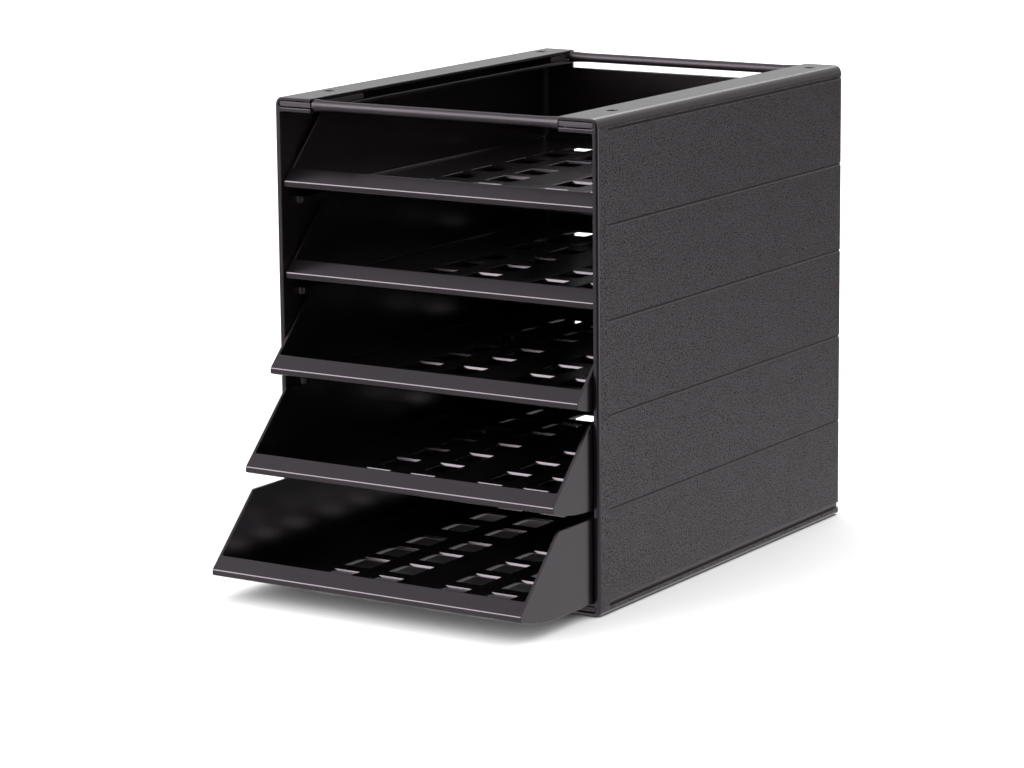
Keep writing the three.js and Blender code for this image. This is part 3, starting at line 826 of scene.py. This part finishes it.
def floor_glow(graph, x, y):
    """the floor's strength in reflections, by distance and azimuth from the origin"""
    squares = [graph.math("MULTIPLY", v, v) for v in (x, y)]
    distance = graph.math("SQRT", graph.math("ADD", *squares))
    glow = graph.ramp(distance, 0.30, 1.75, 1.10, 0.38)
    azimuth = graph.math("ARCTAN2", x, graph.math("MULTIPLY", y, -1.0))

    def off(degrees):
        return graph.math("ABSOLUTE", graph.math("SUBTRACT", azimuth, math.radians(degrees)))

    dim = graph.ramp(off(DARK_AZIMUTH), math.radians(12), math.radians(27), 0.10, 1.0)
    near = graph.ramp(distance, 0.30, 0.62, 1.0, 0.0)
    dim = graph.math("MAXIMUM", dim, near)
    side = graph.ramp(off(STRIP_AZIMUTH), math.radians(24), math.radians(8), 0.0, 3.2)
    side = graph.math("MULTIPLY", side, graph.ramp(distance, 0.35, 1.2))
    return graph.math("MULTIPLY", dim, graph.math("ADD", glow, side))


def floor_paint():
    """pale matt floor; in reflections it dims away from the box and towards the camera"""
    graph = Graph(bpy.data.materials.new("studio_floor"))
    paint = graph.node("BsdfPrincipled", Roughness=0.9, Specular_IOR_Level=0.1)
    clouds = graph.noise(graph.coords(), 3.0)
    colour = graph.mix(clouds, (0.90, 0.90, 0.905, 1), (0.93, 0.93, 0.93, 1))
    position = graph.node("NewGeometry").outputs["Position"]
    x, y = graph.node("SeparateXYZ", position).outputs[:2]
    shade = floor_shade(graph, x, y)
    graph.set(paint, Base_Color=graph.vector("SCALE", colour, Scale=shade).outputs[0])
    emission = graph.node("Emission", Strength=floor_glow(graph, x, y))
    glossy = graph.node("LightPath").outputs["Is Glossy Ray"]
    return graph.finish(graph.node("MixShader", glossy, paint.outputs[0], emission.outputs[0]))


PANEL = plastic("panel_grain", shade=0.0050, rough=0.46, grain=1.0, grain_scale=1350.0,
                haze=0.05, wear_and_edge_sheen=0.8, fine=0.10, relief=0.00030, sparkle=2.6)
SIDE = plastic("side_plain", shade=0.0040, rough=0.24, grain=0.05, grain_scale=1700.0,
               haze=0.04, wear_and_edge_sheen=1.0)
BAR = plastic("bar_plain", shade=0.0040, rough=0.52, grain=0.05, grain_scale=1700.0,
              haze=0.04, wear_and_edge_sheen=1.0)
DRAWER = plastic("drawer_plain", shade=0.0035, rough=0.22, grain=0.03, grain_scale=1700.0,
                 haze=0.03, wear_and_edge_sheen=0.8)
RUBBER = mottled("foot_rubber", dark=(0.008, 0.008, 0.008, 1), pale=(0.022, 0.021, 0.020, 1),
                 patch_scale=120.0, patch_end=0.65, grain_scale=900.0, grain_detail=4.0,
                 rough=(0.68, 0.86), bump=(0.4, 0.0001))
STEEL = mottled("screw_steel", dark=(0.008, 0.008, 0.009, 1), pale=(0.022, 0.021, 0.021, 1),
                patch_scale=300.0, patch_end=0.7, grain_scale=1500.0, grain_detail=3.0,
                rough=(0.30, 0.48), bump=(0.15, 0.00005), metallic=0.85)


# ------------------------------------------------------------------ pieces

def give(piece, name, materials, body, node):
    """names a piece, gives it its materials and tells the frame what it is"""
    piece.name = name
    piece.data.name = name
    piece.data.materials.clear()
    for material in materials:
        piece.data.materials.append(material)
    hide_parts(node)
    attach(piece, body)


def place_copy(source, name, shift, material, node, sharp=50, inverted=False):
    """a copy of a piece, settled on the housing"""
    piece = duplicate(source, name)
    if inverted:
        piece.data.transform(Matrix.Rotation(math.pi, 4, "X"))
    settle(piece, shift, sharp=sharp)
    give(piece, name, (material,), "housing", node)


def place_sides():
    right = build_side()
    left = duplicate(right, "side_left_shell")
    settle(right)
    settle(left, flip=True)
    for side, node in ((right, "side_right"), (left, "side_left")):
        give(side, node + "_shell", (SIDE, PANEL), "housing", node)
        paint_side(side)


def place_bars():
    for end, (y, tongue_y) in BARS.items():
        bar = build_bar(tongue_y, SCREW_Y[end] - y)
        for level, z in BAR_Z.items():
            place_copy(bar, f"bar_{end}_{level}", (0, y, z), BAR,
                       f"crossbar_{end}_{level}", sharp=42)
        bpy.data.objects.remove(bar)


def place_drawers():
    """drawer_1 is the top one"""
    drawer = build_drawer()
    settle(drawer)
    for n, (pulled, groove) in enumerate(zip(PULLED, reversed(GROOVES))):
        name = f"drawer_{n + 1}"
        tray = duplicate(drawer, name + "_tray")
        tray.location = (0, (DRAWER_Y - pulled) / 1000, (groove + DRAWER_RISE) / 1000)
        give(tray, name + "_tray", (DRAWER,), name, name)
    bpy.data.objects.remove(drawer)


def place_fixings():
    screw = build_screw()
    foot = build_foot()
    for side, x in (("left", -FIXING_X), ("right", FIXING_X)):
        for end, y in SCREW_Y.items():
            for level in ("top", "bottom"):
                node = f"screw_{level}_{end}_{side}"
                low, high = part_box(node)
                top = level == "top"
                z = high.z * 1000 - SCREW_HEAD if top else low.z * 1000 + SCREW_HEAD
                place_copy(screw, node + "_pan", (x, y, z), STEEL, node,
                           inverted=not top)
        for end, y in FOOT_Y.items():
            node = f"foot_{end}_{side}"
            low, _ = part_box(node)
            place_copy(foot, node + "_pad", (x, y, low.z * 1000), RUBBER, node)
    bpy.data.objects.remove(screw)
    bpy.data.objects.remove(foot)


place_sides()
place_bars()
place_drawers()
place_fixings()

# ------------------------------------------------------------------ studio, metres

FLOOR_HALF = 14


def build_floor():
    half = FLOOR_HALF
    mesh = bpy.data.meshes.new("studio_floor")
    mesh.from_pydata([(-half, -half, 0), (half, -half, 0), (half, half, 0), (-half, half, 0)],
                     [], [(0, 1, 2, 3)])
    floor = link_object("studio_floor", mesh)
    mesh.materials.append(floor_paint())


def build_world():
    """one set of lights for what is lit, another for what the plastic mirrors"""
    world = bpy.data.worlds.new("studio")
    bpy.context.scene.world = world
    graph = Graph(world, "OutputWorld")
    background = graph.node("Background", Color=(1.0, 1.0, 1.0, 1))
    direction = graph.node("TexCoord").outputs["Generated"]

    def along(axis):
        return graph.vector("DOT_PRODUCT", direction, axis).outputs["Value"]

    def softbox(azimuth, elevation, half_width, half_height, power, soft=0.12):
        """soft rectangular light far away; azimuth 0 is in front, 90 to the right"""
        turn, rise = math.radians(azimuth), math.radians(elevation)
        centre = Vector((math.sin(turn) * math.cos(rise), -math.cos(turn) * math.cos(rise),
                         math.sin(rise)))
        right = Vector((math.cos(turn), math.sin(turn), 0))
        facing = along(centre)
        offsets = []
        for axis in (right, centre.cross(right) * -1):
            ratio = graph.math("DIVIDE", along(axis), graph.math("MAXIMUM", facing, 0.02))
            offsets.append(graph.math("ABSOLUTE", ratio))
        shape = graph.math("MULTIPLY", *[
            graph.ramp(offset, half + soft, half - soft)
            for offset, half in zip(offsets, (half_width, half_height))])
        shape = graph.math("MULTIPLY", shape, graph.ramp(facing, 0.05, 0.10))
        return graph.math("MULTIPLY", shape, power)

    # key low at the front left, and the same lamp as the plastic mirrors it
    key = softbox(-42, 26, half_width=0.42, half_height=0.32, power=5.0)
    glint = softbox(-40, 20, half_width=0.38, half_height=0.34, power=14.0, soft=0.10)
    # overhead, reaching back
    overhead = softbox(180, 62, half_width=0.90, half_height=0.45, power=1.0)
    ambient = 1.32
    fill = graph.math("ADD", graph.math("ADD", key, overhead), ambient)

    # mirrored: a dim room, brighter overhead, darkest behind the camera
    height = along((0, 0, 1))
    room = graph.ramp(height, 0.30, 0.75, 0.70, 1.05)
    turn = math.radians(DARK_AZIMUTH)
    toward = along((math.sin(turn), -math.cos(turn), 0))
    across = graph.math("DIVIDE", along((math.cos(turn), math.sin(turn), 0)),
                        graph.math("MAXIMUM", toward, 0.05))
    across = graph.math("ABSOLUTE", across)
    dark = graph.math("MULTIPLY", graph.ramp(across, 0.55, 0.22),
                      graph.math("MULTIPLY", graph.ramp(toward, 0.05, 0.2),
                                 graph.ramp(height, 0.85, 0.55)))
    room = graph.math("MULTIPLY", room, graph.ramp(dark, 0.0, 1.0, 1.0, 0.08))
    strip = softbox(STRIP_AZIMUTH, 20, half_width=0.22, half_height=0.40, power=1.6)
    rim = softbox(-158, 27, half_width=0.16, half_height=0.08, power=3.2, soft=0.07)
    mirror = graph.math("ADD", graph.math("ADD", room, strip), rim)
    ceiling = softbox(180, 52, half_width=0.60, half_height=0.30, power=0.95)
    mirror = graph.math("ADD", mirror, graph.math("ADD", glint, ceiling))

    rays = graph.node("LightPath").outputs
    level = graph.mix(rays["Is Glossy Ray"], fill, mirror, kind="FLOAT")
    level = graph.mix(rays["Is Camera Ray"], level, 1.0, kind="FLOAT")
    graph.set(background, Strength=level)
    graph.finish(background)


def build_camera():
    """in front and to the right, looking slightly down"""
    azimuth, elevation, roll = (math.radians(v) for v in (32.529, 11.421, -0.562))
    location = (1.3073, -1.9552 + FRONT / 1000, 0.6167)
    back = Vector((math.sin(azimuth) * math.cos(elevation),
                   -math.cos(azimuth) * math.cos(elevation), math.sin(elevation)))
    right = (-back).cross(Vector((0, 0, 1))).normalized()
    up = right.cross(-back)
    rolled_right = math.cos(roll) * right + math.sin(roll) * up
    rolled_up = -math.sin(roll) * right + math.cos(roll) * up
    camera = link_object("camera", bpy.data.cameras.new("camera"))
    rotation = Matrix((rolled_right, rolled_up, back)).transposed()
    camera.matrix_world = Matrix.Translation(location) @ rotation.to_4x4()
    camera.data.sensor_width = 36
    camera.data.lens = 129.46640625
    camera.data.shift_x = -0.001259765625
    camera.data.shift_y = -0.001884765625
    camera.data.clip_start = 0.05
    camera.data.clip_end = 60
    bpy.context.scene.camera = camera


build_floor()
build_world()
bpy.context.scene.view_settings.view_transform = "Standard"
bpy.context.scene.view_settings.look = "None"
build_camera()
